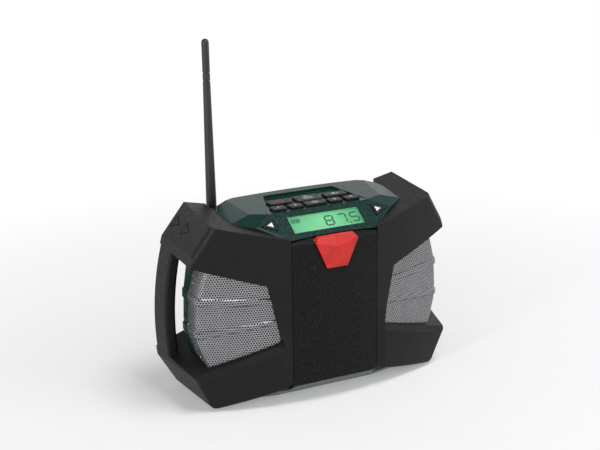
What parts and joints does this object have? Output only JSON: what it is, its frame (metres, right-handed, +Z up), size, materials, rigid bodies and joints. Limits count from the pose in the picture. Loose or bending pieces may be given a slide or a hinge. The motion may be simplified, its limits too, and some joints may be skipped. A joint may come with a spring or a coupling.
{
  "type": "jobsite radio",
  "caption": "Jobsite radio with two folded side frames that carry hand grips, a hinged front door with latch, sloped display, keypad and folding whip antenna.",
  "frame": {"origin": "centre of the base, on the surface the feet stand on", "axes": "+X to the radio's right as seen from its front, +Y to the rear, +Z up"},
  "size_m": [0.259, 0.1014, 0.2942],
  "materials": {
    "black_plastic": "fine-grained satin",
    "grille_metal": "perforated sheet, silver grey",
    "green_plastic": "satin dark green",
    "key_rubber": "satin",
    "arrow_plastic": "satin, with a white print",
    "lens": "clear, glossy",
    "display": "backlit green",
    "circuit_board": "solder mask",
    "steel": "zinc-plated",
    "aluminium": "extruded",
    "capacitor_sleeve": "sleeved",
    "bay_plastic": "moulded",
    "battery_plastic": "moulded",
    "brass": "plated",
    "door_plastic": "sand-textured",
    "seal_rubber": "soft",
    "red_plastic": "satin red",
    "antenna_plastic": "moulded",
    "whip_rubber": "satin",
    "socket_plastic": "moulded",
    "basket_steel": "black stamped steel",
    "cone_paper": "pressed paper",
    "magnet": "ferrite",
    "foot_rubber": "soft"
  },
  "bodies": {
    "housing": {"amplifier_heat_sink": "aluminium", "antenna_bracket": "steel", "antenna_clip": "antenna_plastic", "antenna_pivot": "steel", "aux_socket": "socket_plastic", "battery_contacts": "brass", "battery_pack": "battery_plastic", "bay_tub": "bay_plastic", "board_capacitors": "capacitor_sleeve", "case_screws": "steel", "contact_carrier": "bay_plastic", "control_panel": "green_plastic", "dc_inlet": "socket_plastic", "display_board": "circuit_board", "display_lens": "lens", "display_module": "display", "door_gasket": "seal_rubber", "frame_screws": "steel", "front_shell": "green_plastic", "grille_left": "grille_metal", "grille_right": "grille_metal", "keypad_board": "circuit_board", "latch_keeper": "steel", "main_board": "circuit_board", "rear_shell": "green_plastic", "rubber_feet": "foot_rubber", "side_frame_left": "black_plastic", "side_frame_right": "black_plastic", "speaker_basket_left": "basket_steel", "speaker_basket_right": "basket_steel", "speaker_cone_left": "cone_paper", "speaker_cone_right": "cone_paper", "speaker_dust_cap_left": "cone_paper", "speaker_dust_cap_right": "cone_paper", "speaker_magnet_left": "magnet", "speaker_magnet_right": "magnet", "speaker_screws": "steel", "speaker_surround_left": "seal_rubber", "speaker_surround_right": "seal_rubber", "tuner_can": "steel"},
    "door": {"door": "door_plastic", "door_hinge_pins": "steel", "latch_pin": "steel", "latch_spring": "steel"},
    "latch": {"door_latch": "red_plastic"},
    "antenna": {"antenna_knuckle": "antenna_plastic", "antenna_whip": "whip_rubber"},
    "key_power": {"key_power": "key_rubber"},
    "key_function": {"key_function": "key_rubber"},
    "key_mute": {"key_mute": "key_rubber"},
    "key_preset_1": {"key_preset_1": "key_rubber"},
    "key_preset_2": {"key_preset_2": "key_rubber"},
    "key_select": {"key_select": "key_rubber"},
    "key_preset_3": {"key_preset_3": "key_rubber"},
    "key_preset_4": {"key_preset_4": "key_rubber"},
    "arrow_left": {"arrow_left": "arrow_plastic"},
    "arrow_right": {"arrow_right": "arrow_plastic"}
  },
  "joints": [
    {"name": "door_hinge", "type": "hinge", "parent": "housing", "child": "door", "pos_m": [0, -0.04715, 0.0202], "axis": [1, 0, 0], "range_deg": [0, 90]},
    {"name": "latch_hinge", "type": "hinge", "parent": "door", "child": "latch", "pos_m": [0, -0.04415, 0.1398], "axis": [-1, 0, 0], "range_deg": [0, 25], "stiffness_Nm_per_rad": 0.05, "springref_deg": -11.46},
    {"name": "antenna_hinge", "type": "hinge", "parent": "housing", "child": "antenna", "pos_m": [-0.071, 0.04405, 0.1467], "axis": [0, 1, 0], "range_deg": [0, 90]},
    {"name": "key_power_press", "type": "slide", "parent": "housing", "child": "key_power", "axis": [0, 0, -1], "range_m": [0, 0.0008], "stiffness_N_per_m": 600},
    {"name": "key_function_press", "type": "slide", "parent": "housing", "child": "key_function", "axis": [0, 0, -1], "range_m": [0, 0.0008], "stiffness_N_per_m": 600},
    {"name": "key_mute_press", "type": "slide", "parent": "housing", "child": "key_mute", "axis": [0, 0, -1], "range_m": [0, 0.0008], "stiffness_N_per_m": 600},
    {"name": "key_preset_1_press", "type": "slide", "parent": "housing", "child": "key_preset_1", "axis": [0, 0, -1], "range_m": [0, 0.0008], "stiffness_N_per_m": 600},
    {"name": "key_preset_2_press", "type": "slide", "parent": "housing", "child": "key_preset_2", "axis": [0, 0, -1], "range_m": [0, 0.0008], "stiffness_N_per_m": 600},
    {"name": "key_select_press", "type": "slide", "parent": "housing", "child": "key_select", "axis": [0, 0, -1], "range_m": [0, 0.0008], "stiffness_N_per_m": 600},
    {"name": "key_preset_3_press", "type": "slide", "parent": "housing", "child": "key_preset_3", "axis": [0, 0, -1], "range_m": [0, 0.0008], "stiffness_N_per_m": 600},
    {"name": "key_preset_4_press", "type": "slide", "parent": "housing", "child": "key_preset_4", "axis": [0, 0, -1], "range_m": [0, 0.0008], "stiffness_N_per_m": 600},
    {"name": "arrow_left_press", "type": "slide", "parent": "housing", "child": "arrow_left", "axis": [0, 0.5075, -0.8616], "range_m": [0, 0.0008], "stiffness_N_per_m": 600},
    {"name": "arrow_right_press", "type": "slide", "parent": "housing", "child": "arrow_right", "axis": [0, 0.5075, -0.8616], "range_m": [0, 0.0008], "stiffness_N_per_m": 600}
  ]
}
